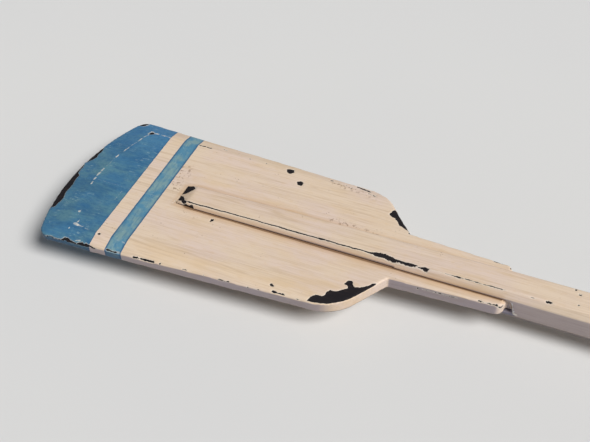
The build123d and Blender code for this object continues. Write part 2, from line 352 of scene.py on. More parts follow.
def chip_depth(graph, ragged):
    """Distance to the nearest chip or rubbed arris in millimetres, with ragged outlines."""
    chip = graph.scaled(ragged, 2.0, graph.attribute("chip"))
    sway = graph.sway(90, 3, 0.6, (3.3, 0, 0))
    across = graph.scaled(sway, 1.6, graph.attribute("across"))
    width = graph.scaled(ragged, 0.9, graph.attribute("rubbed"))
    line = graph.math("SUBTRACT", graph.math("ABSOLUTE", across), width)
    return graph.math("MINIMUM", chip, line)


def painted_wood(name, banded):
    """Layered paint: cream everywhere, and blue on the tip and band when banded. It is worn
    through where the piece's "chip" or "scuff" distance, in millimetres, falls below zero."""
    graph = Graph(name)
    ragged = graph.sway(560, 5, 0.68)
    chip = chip_depth(graph, ragged)

    dirt = ((30, 160, 160), 4, 0.65, (0.2, 2.4, 0))
    colour = graph.layered(cream_colour(graph), [(TAN, dirt, 0.60, 0.78, 0.35)])
    dots = graph.times(speckle(graph, 420, 0.58, 0.70, (1.3, 0.1, 0)), 0.6)
    colour = graph.mix(dots, colour, GRIME)

    # Painted shade: a tan gradient out from the corner between spine and board. On the blade, a dark
    # joint line right in the corner.
    sway = graph.sway((60, 300, 300))
    hollow = graph.scaled(sway, 0.8, graph.attribute("crevice"))
    colour = graph.mix(graph.step(hollow, 0.5, 7.0, 0.50, 0.0), colour, TAN)
    if banded:
        colour = graph.mix(graph.step(hollow, 0.3, 1.3, 0.8, 0.0), colour, GRIME)
    spots = graph.step(graph.noise(330, 3, 0.6, (1.1, 0.9, 0)), 0.52, 0.62)
    soiled = graph.times(spots, graph.attribute("soil"))
    colour = graph.mix(graph.times(soiled, 0.55), colour, GRIME)

    distance = graph.math("DIVIDE", graph.math("SUBTRACT", graph.coordinate(0), tip_x), MM)
    if banded:
        wobble = graph.sway(190, 3, 0.6, (0, 7.7, 0))
        ruled = graph.scaled(wobble, 0.9, distance)
        blue_rim = graph.step(ruled, TIP_PAINT_END - 1.4, TIP_PAINT_END - 0.2, 0.0, 0.55)
        blue = graph.mix(blue_rim, tip_blue_colour(graph), BLUE_DEEP)
        in_tip = graph.step(ruled, TIP_PAINT_END - 0.15, TIP_PAINT_END + 0.15, 1.0, 0.0)
        # Painted shade on the far bevel, which faces away from the key light.
        edge = graph.step(graph.coordinate(1), 66 * MM, 82 * MM, 0.0, 0.35)
        colour = graph.mix(edge, colour, CREAM_OLD_AND_SHADE)
        colour = graph.mix(in_tip, colour, blue)
        in_band = graph.times(
            graph.step(ruled, BAND_START - 0.15, BAND_START + 0.15),
            graph.step(ruled, BAND_END - 0.15, BAND_END + 0.15, 1.0, 0.0),
        )
        colour = graph.mix(in_band, colour, band_colour(graph, ruled))
        scuff = graph.scaled(ragged, 2.4, graph.attribute("scuff"))
        bite = graph.step(graph.noise(210, 3, 0.6, (4.4, 4.4, 0)), 0.36, 0.62, 0.35, 0.85)
        scuffed = graph.times(graph.step(scuff, -0.4, 0.3, 1.0, 0.0), bite)
        colour = graph.mix(scuffed, colour, UNDERCOAT_AND_HIGHLIGHT)
    else:
        for end in (SLEEVE_START, SLEEVE_END):
            off = graph.math("ABSOLUTE", graph.math("SUBTRACT", distance, end))
            smear = graph.scaled(sway, 9.0, off)
            colour = graph.mix(graph.step(smear, 0.5, 12.0, 0.7, 0.0), colour, GRIME)

    # Painted shade: the sides are greyer, and navy under blue paint, less so where they face the key
    # light. The chamfers underneath get a darker painted shade.
    facing = graph.add("ShaderNodeSeparateXYZ", {0: graph.facing})
    tilt = facing.outputs[2]
    side = graph.step(graph.math("ABSOLUTE", tilt), 0.12, 0.40, 0.66 if banded else 0.58, 0.0)
    side = graph.times(side, graph.step(facing.outputs[0], 0.15, 0.55, 1.0, 0.15))
    side_shade_colour = SIDE_SHADE_GREY
    if banded:
        side_shade_colour = graph.mix(graph.math("MAXIMUM", in_tip, in_band), SIDE_SHADE_GREY, SIDE_SHADE_NAVY)
    colour = graph.mix(side, colour, side_shade_colour)
    # Painted shade on the chamfers underneath, stronger outboard.
    under = graph.times(
        graph.step(tilt, -0.92, -0.75),
        graph.step(tilt, -0.40, -0.22, 0.75, 0.0),
    )
    outboard = graph.step(distance, 520, 760, 1.0, 0.25)
    colour = graph.mix(graph.times(under, outboard), colour, SHADE_GREY)
    if not banded:
        # Painted shade and light in the open slot past the neck: grey low down, pale blue-white higher up
        # its wall. A pale painted highlight along the lip round its end.
        wall = graph.step(graph.coordinate(2), back_z + 0.6 * MM, back_z + 3 * MM)
        slot = graph.mix(wall, SLOT_SHADE_GREY, SLOT_LIT_PALE)
        colour = graph.mix(graph.attribute("pocket"), colour, slot)
        # Painted highlight: a pale line along the slot's lip.
        lip = graph.step(graph.attribute("lip"), 0.55, 1.35, 0.75, 0.0)
        colour = graph.mix(lip, colour, UNDERCOAT_AND_HIGHLIGHT)

    # A thin rim of undercoat round each chip, and dark old wood inside it.
    colour = graph.mix(graph.step(chip, 0.05, 0.65, 0.5, 0.0), colour, UNDERCOAT_AND_HIGHLIGHT)
    old = graph.step(graph.noise((60, 700, 700), 4, 0.6), 0.52, 0.75)
    inside = graph.step(chip, -0.12, 0.12, 1.0, 0.0)
    colour = graph.mix(inside, colour, graph.mix(old, BARE_DARK, BARE_BROWN))
    if not banded:
        # The grip was never painted, and the paint's end is worn ragged.
        worn = graph.sway((50, 150, 150), 5, 0.65, (0, 0.6, 0))
        bare = graph.scaled(worn, 34.0, distance)
        rim = graph.step(bare, GRIP_START - 2.5, GRIP_START - 0.3, 0.0, 0.5)
        colour = graph.mix(rim, colour, UNDERCOAT_AND_HIGHLIGHT)
        in_grip = graph.step(bare, GRIP_START - 0.3, GRIP_START + 0.3)
        colour = graph.mix(in_grip, colour, wood_colour(graph))

    grain = graph.noise((11, 420, 420), 4, 0.6, (0.3, 0, 0))
    brush = graph.noise((26, 1400, 1400), 3, 0.5, (0.9, 0, 0))
    surface = graph.scaled(brush, 0.35, grain)
    relief = graph.bump(surface, 0.00035, 0.6)
    relief = graph.bump(graph.step(chip, -0.35, 0.35), 0.0004, 0.9, relief)
    sheen = graph.step(graph.noise(60, 3, 0.6, (0, 0, 4.0)), 0.35, 0.7, 0.46, 0.62)
    rough = graph.scaled(inside, 0.22, sheen)
    return graph.finished(colour, rough, relief, **{"Specular IOR Level": 0.3})


# ---- Bare wood, leather, thread and copper ----

WOOD_LIGHT = rgb(186, 144, 98)
WOOD_DARK = rgb(132, 90, 54)
WOOD_HANDLED = rgb(104, 70, 44)
LEATHER = rgb(122, 74, 42)
LEATHER_DARK = rgb(70, 40, 24)
LEATHER_RUBBED = rgb(156, 104, 64)
LEATHER_CUT = rgb(46, 28, 20)
THREAD = rgb(206, 188, 152)
THREAD_SOILED = rgb(150, 124, 88)
COPPER = rgb(176, 118, 88)
COPPER_DULL = rgb(106, 72, 56)
VERDIGRIS = rgb(96, 134, 116)


def wood_colour(graph):
    """Growth rings about a line beside the loom, so that sides and end both show their grain."""
    offset = graph.stretched((5.0, 120.0, 120.0), (0.3, 2.9, 1.9))
    rings = graph.add("ShaderNodeTexWave", {
        "Vector": offset, "Scale": 1.35, "Distortion": 5.5, "Detail": 3.0, "Detail Scale": 0.45,
    }, wave_type="RINGS", rings_direction="X").outputs["Fac"]
    late = graph.step(graph.noise((9, 55, 55), 3, 0.6, (0, 8.0, 0)), 0.34, 0.62, 0.25, 0.75)
    rings = graph.times(graph.step(rings, 0.40, 0.98), graph.times(late, 0.75))
    return graph.layered(graph.mix(rings, WOOD_LIGHT, WOOD_DARK), [
        (WOOD_DARK, ((30, 1300, 1300), 3, 0.6), 0.52, 0.68, 0.55),
        (WOOD_HANDLED, ((16, 40, 40), 4, 0.6, (5.5, 0, 0)), 0.42, 0.66, 0.6),
    ])


def leather_material():
    """Tallowed leather: pores and creases, dark cut edges, paler where it is rubbed."""
    graph = Graph("tallowed_leather")
    colour = graph.layered(LEATHER, [(LEATHER_DARK, (26, 5, 0.6), 0.36, 0.66, 1.0)])
    pores = graph.add("ShaderNodeTexVoronoi", {
        "Vector": graph.stretched((1100, 1100, 1100)), "Scale": 1.0,
    }).outputs["Distance"]
    pits = graph.step(pores, 0.10, 0.42, 1.0, 0.0)
    colour = graph.mix(graph.times(pits, 0.35), colour, LEATHER_DARK)
    wander = graph.sway((70, 150, 150), 3, 0.5, (1.0, 2.0, 0))
    broken = graph.step(graph.noise(95, 3, 0.6, (0, 0, 6.0)), 0.46, 0.64)
    crease = graph.step(graph.math("ABSOLUTE", wander), 0.0, 0.02, 1.0, 0.0)
    crease = graph.times(crease, broken)
    colour = graph.mix(graph.times(crease, 0.4), colour, LEATHER_DARK)
    scuffs = graph.step(graph.noise((180, 34, 34), 4, 0.7, (0, 3.0, 0)), 0.56, 0.72, 0.0, 0.75)
    rubbed = graph.times(scuffs, graph.attribute("rubbed"))
    colour = graph.mix(rubbed, colour, LEATHER_RUBBED)
    edge = graph.step(graph.attribute("edge"), 0.5, 2.4, 0.85, 0.0)
    colour = graph.mix(edge, colour, LEATHER_CUT)
    sheen = graph.step(graph.noise(44, 4, 0.6, (0, 0, 2)), 0.35, 0.68, 0.36, 0.58)
    rough = graph.scaled(pits, 0.12, sheen)
    relief = graph.bump(graph.math("SUBTRACT", 1.0, pits), 0.00012, 0.6)
    relief = graph.bump(graph.math("SUBTRACT", 1.0, crease), 0.00012, 0.5, relief)
    return graph.finished(colour, rough, relief, **{"Specular IOR Level": 0.45})


def thread_material():
    graph = Graph("waxed_thread")
    colour = graph.layered(THREAD, [
        (THREAD_SOILED, (120, 4, 0.6), 0.40, 0.66, 1.0),
        (THREAD_SOILED, ((2600, 900, 900), 2, 0.5), 0.5, 0.7, 0.4),
    ])
    return graph.finished(colour, 0.6, graph.bump(graph.noise(2400, 2), 0.00006, 0.5))


def copper_material():
    """Hammered copper that has dulled, with a little green left in the low places."""
    graph = Graph("aged_copper")
    colour = graph.layered(COPPER, [(COPPER_DULL, (420, 4, 0.6), 0.36, 0.66, 1.0)])
    green = graph.step(graph.noise(260, 4, 0.65, (3.0, 1.0, 0)), 0.56, 0.70, 0.0, 0.7)
    colour = graph.mix(green, colour, VERDIGRIS)
    sheen = graph.step(graph.noise(700, 3, 0.6, (0, 2.0, 0)), 0.35, 0.7, 0.30, 0.55)
    relief = graph.bump(graph.noise(900, 3), 0.0001, 0.5)
    return graph.finished(colour, graph.scaled(green, 0.3, sheen), relief, Metallic=1.0)


def peg_material():
    """End grain seen through thin, worn paint."""
    graph = Graph("peg_end_grain")
    rings = graph.step(graph.noise((900, 120, 120), 3, 0.55, distortion=0.6), 0.44, 0.62)
    colour = graph.mix(rings, WOOD_LIGHT, WOOD_DARK)
    colour = graph.layered(colour, [(WOOD_HANDLED, (2200, 2, 0.5), 0.56, 0.68, 0.6)])
    painted = graph.step(graph.noise(430, 4, 0.65, (2.0, 2.0, 0)), 0.40, 0.50)
    colour = graph.mix(painted, colour, CREAM_OLD_AND_SHADE)
    rough = graph.step(painted, 0, 1, 0.75, 0.55)
    return graph.finished(colour, rough, graph.bump(rings, 0.00015, 0.6))


# ---- Wear placed one by one: flakes are outlines, the rest are strokes ----

TOP_FLAKES = [
    # The tip's edge.
    [(4.5, -55), (8.5, -52.5), (9, -48), (10, -41), (8, -35), (7.5, -27), (8, -22), (6, -14),
     (6.5, -9), (3, -6), (3, 0), (2.5, 6), (0.5, 8), (-12, 8), (-12, -54)],
    [(2.5, 11), (6.5, 16), (8, 20), (7, 25), (8, 30), (6.5, 35), (5.5, 39), (-10, 39), (-10, 11)],
    [(13, 62), (10.5, 65), (12, 67), (5, 68), (4, 61)],
    [(22, 78), (24, 77.5), (28.5, 79), (29, 83.5), (28, 90), (10, 84)],
    # The near edge by the tip.
    [(20, -85.6), (28, -84.8), (31.5, -85), (36, -84.5), (38.5, -82.5), (41.5, -82),
     (44.5, -83.5), (49, -83), (51.5, -84), (54, -82.5), (55.5, -81.5), (58, -83), (60, -81.5),
     (63.5, -82.5), (72, -82.8), (72, -90), (19, -90)],
    # The crest's far corner, and a spot on the cream stripe.
    [(39.5, 66), (42, 65.8), (45.5, 67.5), (43, 69.5), (40.5, 69)],
    [(65, -70.5), (66, -68.6), (67.5, -69.2), (67, -71)],
    # Two knocks on the far half.
    [(186.5, 67.5), (189.5, 70), (193, 69.5), (194.5, 65.5), (191.5, 63), (188, 64)],
    [(202, 55), (205.5, 57), (208, 55.5), (207.5, 51.5), (203.5, 52)],
    # A spot by the spine.
    [(149.5, -21.5), (149, -18.5), (151, -17.8), (151.5, -19.5)],
    # The near long edge.
    [(148, -78.5), (151.5, -77.5), (158, -77.7), (157, -79), (151, -79)],
    [(225.5, -67), (227.5, -66.5), (229.5, -68), (228, -69)],
    [(229, -74), (230, -72.2), (232.5, -71.6), (234.5, -72.6), (239.5, -71.8), (240.5, -72.8),
     (237, -74), (232.5, -74.5)],
    # The near shoulder: one long flake with a knob on its inner side.
    [(259.5, -71), (263.5, -65.5), (266.5, -63.5), (269.5, -64.4), (272.5, -62), (272, -58.5),
     (274, -55.5), (278, -55.4), (284, -51), (287, -48.2), (285.3, -45.5), (283, -44.7),
     (284, -40.6), (287.5, -40.4), (289, -43.5), (291, -45.3), (296, -43.8), (299.5, -42.2),
     (302, -38.8), (305, -35.4), (309, -34.6), (307, -39.6), (304.3, -44), (302, -47.5),
     (298.5, -52.2), (293.3, -58), (289, -62), (281.5, -66.8), (275.5, -69), (269, -70),
     (263.5, -71)],
    # The far shoulder.
    [(293.5, 45.8), (295, 51), (303, 60), (312, 50), (320, 40), (318.5, 30.5), (313.5, 32.5),
     (309, 34.5), (306, 35.5), (303, 39.5), (299, 42.5)],
]

# On the spine: its ramped end, and its near side by the shoulder.
SPINE_FLAKES = [
    [(108, 14), (113.5, 12.5), (118, 10.8), (121, 7.5), (119, 5.4), (117, 3.6), (115, 0.7),
     (109, -0.4), (107, 5)],
    [(109.5, -2.5), (113, -3.3), (117, -7.5), (121, -10.4), (120.2, -12), (117.5, -11.8),
     (115, -9), (111.2, -8), (107, -13.5), (107, -11.5)],
    [(120, -12.9), (122.5, -12.4), (124, -13), (127.5, -11.9), (129, -13.5), (128.5, -17), (119.5, -17)],
    [(114.8, -14.2), (118.3, -14.6), (118.3, -16), (114.8, -16)],
    [(292, -10.8), (296.5, -9.6), (300.5, -8.8), (305, -8.4), (308, -9.2), (313, -10.1), (317, -11),
     (323, -10.9), (329, -11.1), (333, -11.6), (327.5, -12), (321.5, -11.8), (313, -12),
     (309, -12.1), (305.5, -11.8), (300, -11.5)],
    [(335, -11.4), (338.5, -11.3), (340.5, -10.7), (344, -11.2), (343, -12.3), (340, -12.4), (337, -12)],
]

# Worn spots along the edges, and on the neck and the loom.
FACE_CHIPS = [
    ([(108.2, -13), (109.6, -3.5)], 0.45),
    ([(165, 68.5)], 0.8), ([(230, 69.5), (232, 69.5)], 0.7), ([(237, 68.8)], 0.6), ([(245, 68)], 0.6),
    ([(251, 65.2)], 0.8), ([(256, 70.5), (262, 69.2), (269, 68)], 1.0), ([(268, 64), (275, 63)], 0.5),
    ([(94, 69), (101, 69.6), (107, 68.8)], 0.7), ([(118, 73.5), (122, 73.3)], 0.6), ([(148, 69)], 0.7),
    ([(316, 30), (322, 29.2), (337, 28.2)], 0.9), ([(391, 25.4), (399, 24.9)], 0.9), ([(406, 21.5)], 1.1),
    ([(80, -81.5), (92, -81)], 0.8), ([(105, -80.5), (112, -80)], 0.9), ([(113, -80), (124, -79.5)], 1.2),
    ([(130, -79)], 0.9), ([(170, -77)], 0.9), ([(183, -76.5), (192, -76)], 0.6), ([(209, -75.2)], 0.7),
    ([(215, -75), (219, -74.7)], 0.5), ([(249, -72.8), (254, -72.5)], 0.6),
    ([(388, -22.3), (396, -21.9), (401.5, -21.5)], 0.9),
    ([(402, -21.3), (405.8, -20.2), (408, -17.6)], 0.7), ([(339, -25.9)], 0.9),
    ([(343, -25.1), (372, -23.4)], 0.4),
    ([(439, -11), (442, -11)], 1.1), ([(461, 5.5), (463, 5.7)], 0.9), ([(462, -5.3)], 1.0),
    ([(458, 10)], 1.0), ([(500, -13), (506, -13.2)], 0.9), ([(538, 9), (547, 8.5)], 1.1),
]

# The spine's near arris is rubbed to a dark line. Half its width in millimetres, by distance.
ARRIS_WEAR = [
    (118, -0.4), (121, 0.1), (123, 0.75), (127, 0.5), (139, 0.45), (145, 0.55), (160, 0.45),
    (200, 0.42), (225, 0.5), (246, 0.42), (249, 0.8), (253, 0.4), (288, 0.42), (294, 0.6),
    (333, 0.5), (335, -0.3), (345, -0.3), (361, 0.1), (369, 0.5), (372, 0.0), (376, 0.4),
    (379, 0.0), (383, 0.3), (387, 0.05), (395, 0.35), (399, 0.2), (403, 0.3), (408, -0.3),
    (424, -0.3), (427, 0.25), (432, -0.4), (470, -0.5),
]

# Undercoat showing through the blue, mostly along the crest.
SCUFFS = [
    ([(40, 64.5), (37.5, 60)], 0.8), ([(37, 58), (35.5, 52)], 0.6), ([(34.5, 50), (33.5, 45)], 0.55),
    ([(32.5, 43), (30, 33)], 0.6), ([(28.5, 27), (28, 23.5)], 0.9), ([(27.5, 21), (26, 9)], 0.35),
    ([(25.5, 5), (25, 1)], 0.7),
    ([(24.8, -1), (24.8, -5)], 1.0), ([(25, -8), (25, -11)], 0.9), ([(25.4, -14), (25.8, -17.5)], 0.8),
    ([(44, 68.5), (49, 68.8)], 0.7), ([(52, 68.6), (56, 68.4)], 0.8), ([(58, 68.3), (63.5, 68)], 0.6),
    ([(38, 66.5), (40, 70), (44, 70.5)], 0.5), ([(27, 77), (30, 80), (31, 84)], 0.7),
    ([(36, -52.5)], 1.2), ([(36, -49), (37, -57)], 0.3),
    ([(39.5, -67.5), (43.5, -68)], 1.3), ([(42, -62), (41.2, -66)], 0.5),
    ([(45, -67.6), (49, -68.3)], 0.4), ([(51, -68.6), (56, -69)], 0.5), ([(37.6, -73)], 0.7),
    ([(50, -81.5), (53, -80.5)], 0.6), ([(89, -70.5), (92, -71.3)], 0.5), ([(83, -70.5), (86, -70)], 0.5),
    ([(56, -33), (58, -14)], 0.2), ([(57, -12)], 0.5), ([(45, 26), (58, 30)], 0.2),
]

# Soiled places: round the spine's end, along the spine, and on the far edge.
SOILED = [
    ([(103, 4), (99, 11), (98, 18)], 6.0), ([(95, 26), (93, 33)], 4.0), ([(100, 37), (103, 24)], 4.0),
    ([(235, 66), (275, 61)], 4.0), ([(250, 20), (290, 16)], 5.0), ([(135, -22)], 3.0),
]

# The edge of the slot's end on the loom's near side: distance from the tip, and below the face.
SLOT_LIP = [
    (406, 0.3), (409.5, 0.3), (412, 0.9), (413.6, 3), (414.4, 6.5), (415.4, 10), (417, 12),
    (419.5, 12.8),
]

# The open slot past the neck, in millimetres. It ends further inboard the deeper it is.
POCKET_START = 403
POCKET_END = 413  # at the blade's face
POCKET_LAST = 421
POCKET_SLANT = 0.35  # inboard for each millimetre below the face
POCKET_BELOW_FACE = 0.5
POCKET_BELOW_BACK = 3
POCKET_SHARE = 0.9  # of the painted shade and light in the slot over the paint

# Distances of the wear, in millimetres.
FAR_OFF = 50.0  # no wear near by
FLAKE_GROWTH = 0.3
CORNER_REACH = 20.0
NO_RUB = -3.0
SOIL_EASE = 3
ARRIS_PUSH = 4
SPINE_REACH = 20

# Knots with straight lines between them, in millimetres.
CHIP_SINK = [(-0.8, 0.45), (0.4, 0)]  # by the distance to a chip
RUBBED_SINK = [(-0.7, 0.2), (0.5, 0)]
NEAR_ARRIS = [(180, 10.2), (300, 11.0)]  # off the middle line, by distance
CORNER_SHADE_AND_LINE_OFF = [(107, 3), (122, 0), (405, 0), (425, 16)]
PAST_BLUE = [(72, 0), (77, 1)]
OVER_ARRIS = [(0.35, 1), (0.75, 0)]  # by the height of the surface's normal


def stroke_points(points, trees, side):
    """The stroke's points on the surface seen from above (side 1) or below (side -1)."""
    placed = []
    for distance, across in points:
        start = Vector((along(distance), across * MM, axis_z + side * 0.1))
        found = [tree.ray_cast(start, Vector((0, 0, -side))) for tree in trees]
        found = [hit[0] for hit in found if hit[0] is not None]
        if found:
            placed.append(max(found, key=lambda hit: side * hit.z))
        else:
            low = Vector((start.x, start.y, axis_z + side * 0.003))
            nearest = [tree.find_nearest(low) for tree in trees]
            placed.append(min(nearest, key=lambda hit: hit[3])[0])
    return [np.array(point) for point in placed]


def line_distance(places, start, end):
    run = end - start
    share = np.clip((places - start) @ run / max(run @ run, 1e-12), 0.0, 1.0)
    return np.linalg.norm(places - start - share[:, None] * run, axis=1)


def stroke_distance(places, points, radius):
    """Distance in millimetres from each place to the stroke's skin, negative inside."""
    nearest = np.full(len(places), np.inf)
    for start, end in zip(points[:-1] or points, points[1:] or points):
        nearest = np.minimum(nearest, line_distance(places, start, end))
    return nearest / MM - radius


def all_strokes(places, strokes, trees, side):
    distance = np.full(len(places), FAR_OFF)
    for points, radius in strokes:
        placed = stroke_points(points, trees, side)
        distance = np.minimum(distance, stroke_distance(places, placed, radius))
    return distance


def outline_distance(places, outline):
    """Distance in millimetres, seen from above, from each place to an outline, negative inside."""
    flat = np.stack([(places[:, 0] - tip_x) / MM, places[:, 1] / MM], axis=1)
    nearest = np.full(len(flat), np.inf)
    inside = np.zeros(len(flat), bool)
    corners = np.array(outline, float)
    for start, end in zip(corners, np.roll(corners, -1, axis=0)):
        nearest = np.minimum(nearest, line_distance(flat, start, end))
        run = end - start
        if run[1] != 0:
            crossing = start[0] + (flat[:, 1] - start[1]) / run[1] * run[0]
            between = (flat[:, 1] >= min(start[1], end[1])) & (flat[:, 1] < max(start[1], end[1]))
            inside ^= between & (flat[:, 0] < crossing)
    return np.where(inside, -nearest, nearest)


def all_flakes(places, outlines):
    """Distance to the nearest outline, for places on the upper side of the oar."""
    distance = np.full(len(places), FAR_OFF)
    for outline in outlines:
        distance = np.minimum(distance, outline_distance(places, outline))
    return np.where(places[:, 2] > axis_z, distance - FLAKE_GROWTH, FAR_OFF)


# The back's outline as far_wear takes it, in millimetres.
BACK_EDGE = 86.5  # half the width at the tip
BACK_TAPER = 0.054
NEAR_INSET = 3.0
TIP_CROWN = -11
TIP_DIAMETER = 416  # of the tip's arc
SPINE_HALF = 11


def wandering(places, size, reach):
    """Each place moved by slow noise, so that strokes get natural outlines."""
    moved = np.array([noise.noise_vector(Vector(place) / size) for place in places])
    return places + moved * reach


def far_wear(rng):
    """Small chips, seeded, where nothing is listed: on the edges, tip, flat and spine
    of the back, and on the upper side of the inboard loom."""
    def lengthwise(distance, across, length, radius):
        return [(distance, across), (distance + rng.uniform(*length), across)], rng.uniform(*radius)

    back = []
    for _ in range(34):
        distance = rng.uniform(20, 285)
        half = BACK_EDGE - BACK_TAPER * distance
        side = rng.choice((-1, 1))
        half -= NEAR_INSET if side < 0 else 0.0
        length = rng.uniform(1, 14)
        end = (distance + length, side * (half - 0.05 * length))
        back.append(([(distance, side * half), end], rng.uniform(0.5, 1.6)))
    for _ in range(16):
        across = rng.uniform(-78, 78)
        sag = (across - TIP_CROWN) ** 2 / TIP_DIAMETER
        end = (sag + 1.5, across + rng.uniform(2, 9))
        back.append(([(sag + 1, across), end], rng.uniform(0.8, 2.4)))
    for _ in range(12):
        distance = rng.uniform(70, 300)
        across = rng.uniform(-60, 60)
        back.append(lengthwise(distance, across, (0, 5), (0.5, 1.5)))
    for _ in range(26):
        distance = rng.uniform(118, 560)
        across = SPINE_HALF * rng.choice((-1, 1))
        back.append(lengthwise(distance, across, (2, 22), (0.35, 1.1)))
    inboard = []
    for _ in range(60):
        distance = rng.uniform(560, 1400)
        across = rng.uniform(-19, 19)
        inboard.append(lengthwise(distance, across, (0, 7), (0.4, 1.3)))
    return back, inboard


# ---- Dense copies of the wooden pieces ----

BLADE_VOXEL = 1.2 * MM
LOOM_VOXEL = 1.45 * MM
WEAR_SEED = 7


def cad_tree(node):
    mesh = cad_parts[node].data
    return BVHTree.FromPolygons(
        [v.co for v in mesh.vertices], [tuple(p.vertices) for p in mesh.polygons])


def settle(obj):
    """Applies an object's modifiers."""
    graph = bpy.context.evaluated_depsgraph_get()
    made = bpy.data.meshes.new_from_object(obj.evaluated_get(graph))
    obj.modifiers.clear()
    obj.data = made


def dense_copy(node, name, voxel, rounds, material):
    """The node's shape as an even, fine mesh with softened arrises."""
    work = bmesh.new()
    work.from_mesh(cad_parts[node].data)
    bmesh.ops.remove_doubles(work, verts=work.verts, dist=1e-6)
    mesh = bpy.data.meshes.new(name)
    work.to_mesh(mesh)
    work.free()
    obj = add_object(name, mesh)
    remesh = obj.modifiers.new("remesh", "REMESH")
    remesh.mode = "VOXEL"
    remesh.voxel_size = voxel
    smooth = obj.modifiers.new("smooth", "SMOOTH")
    smooth.factor = 0.5
    smooth.iterations = rounds
    settle(obj)
    obj.data.shade_smooth()
    obj.data.materials.clear()
    obj.data.materials.append(material)
    return obj


def vectors(collection, key):
    """A vector for each vertex: its place or its normal."""
    flat = np.empty(len(collection) * 3, np.float32)
    collection.foreach_get(key, flat)
    return flat.reshape(-1, 3).astype(float)


def keep_values(mesh, name, values):
    layer = mesh.attributes.new(name, "FLOAT", "POINT")
    layer.data.foreach_set("value", np.asarray(values, np.float32))


def between(values, knots):
    """The heights at the values, from knots of (value, height)."""
    return np.interp(values, *zip(*knots))


def wear(obj, trees, neighbour, flakes, back, inboard):
    """Works out the piece's wear distances, sinks its chips, and keeps the values."""
    mesh = obj.data
    places = vectors(mesh.vertices, "co")
    normals = vectors(mesh.vertex_normals, "vector")
    wandered = wandering(places, 4 * MM, 0.7 * MM)
    distance = (places[:, 0] - tip_x) / MM
    # Past the blue tip, the board's flakes stop at its arris.
    over_arris = between(normals[:, 2], OVER_ARRIS) * between(distance, PAST_BLUE)
    over_arris *= np.abs(places[:, 1]) > SPINE_REACH * MM
    chip = all_flakes(wandered, flakes) + ARRIS_PUSH * over_arris
    for strokes, side in ((FACE_CHIPS, 1), (inboard, 1), (back, -1)):
        chip = np.minimum(chip, all_strokes(wandered, strokes, trees, side))
    soil = -all_strokes(wandered, SOILED, trees, 1) / SOIL_EASE
    # The rubbed line follows the spine's near arris.
    rubbed = np.where(places[:, 2] > face_z, between(distance, ARRIS_WEAR), NO_RUB)
    across = places[:, 1] / MM + between(distance, NEAR_ARRIS)
    # Distance to the other piece, for the painted corner shade and the joint line.
    gaps = [neighbour.find_nearest(Vector(place), CORNER_REACH * MM)[3] for place in places]
    crevice = np.array([CORNER_REACH if gap is None else gap / MM for gap in gaps])
    # The painted corner shade and the joint line stop round the spine's end and in the open slot past the
    # neck.
    crevice += between(distance, CORNER_SHADE_AND_LINE_OFF)
    depth = between(chip, CHIP_SINK) + between(np.abs(across) - rubbed, RUBBED_SINK)
    places -= normals * depth[:, None] * MM
    mesh.vertices.foreach_set("co", places.astype(np.float32).ravel())
    mesh.update()
    # The slot's lip, which gets a painted highlight.
    lip = [np.array((along(at), -loom_half_width, face_z - drop * MM)) for at, drop in SLOT_LIP]
    # Where the open slot gets its painted shade and light.
    below_face = (face_z - places[:, 2]) / MM
    pocket = (distance > POCKET_START) & (distance < POCKET_LAST)
    pocket &= (places[:, 2] > back_z - POCKET_BELOW_BACK * MM)
    pocket &= (places[:, 2] < face_z - POCKET_BELOW_FACE * MM)
    pocket &= distance < POCKET_END + below_face * POCKET_SLANT
    for name, values in (
        ("chip", np.clip(chip, -4, 8)),
        ("scuff", np.clip(all_strokes(wandered, SCUFFS, trees, 1), -4, 8)),
        ("soil", np.clip(soil, 0, 1)),
        ("crevice", crevice),
        ("rubbed", rubbed),
        ("across", np.clip(across, -12, 12)),
        ("lip", np.clip(stroke_distance(places, lip, 0.0), 0, 8)),
        ("pocket", pocket * POCKET_SHARE),
    ):
        keep_values(mesh, name, values)


def add_wooden_pieces():
    blade_tree = cad_tree("blade_board")
    loom_tree = cad_tree("loom")
    trees = [blade_tree, loom_tree]
    back, inboard = far_wear(np.random.default_rng(WEAR_SEED))
    paint = painted_wood("blade_paint", True)
    blade = dense_copy("blade_board", "painted_blade", BLADE_VOXEL, 3, paint)
    wear(blade, trees, loom_tree, TOP_FLAKES, back, inboard)
    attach(blade, "root")
    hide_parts("blade_board")
    paint = painted_wood("loom_paint", False)
    loom = dense_copy("loom", "painted_loom", LOOM_VOXEL, 2, paint)
    wear(loom, trees, blade_tree, SPINE_FLAKES, back, inboard)
    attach(loom, "root")
    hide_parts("loom")


# ---- Leather, stitching and tacks ----

SEAM_ANGLE = 120  # round the loom, from +Y towards +Z
SEAM_GAP = 0.8 * MM
STITCH_PITCH = 8 * MM
STITCH_REACH = 4.5 * MM
STITCH_MARGIN = 14 * MM
STITCH_SEED = 11
THREAD_RADIUS = 0.45 * MM
PLY_RADIUS = 0.27 * MM
PLY_OFFSET = 0.19 * MM  # from the thread's middle
PLY_TWIST = 11  # radians in half a stitch
STITCH_SINK = 1.4 * MM  # of the stitch's ends
STITCH_SINK_START = 0.78  # share of the reach
TACK_RADIUS = 3.0 * MM
TACK_HEIGHT = 1.2 * MM
TACK_BED = 0.25 * MM  # of the head in the leather
TACK_INSET = 6 * MM
TACK_SEED = 5
TACK_DENT = 4.5 * MM  # in the leather
BUTTON_TACK_ANGLES = (90, 162, 234, 306, 18)
UNEVENNESS = 0.22 * MM  # of leather

inner_strap_low, inner_strap_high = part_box("button_inner_strap")
outer_strap_low, outer_strap_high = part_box("button_outer_strap")
button_x = (outer_strap_low.x + outer_strap_high.x) / 2
inner_strap_radius = inner_strap_high.y
outer_strap_radius = outer_strap_high.y


ALONG = np.array([1.0, 0.0, 0.0])


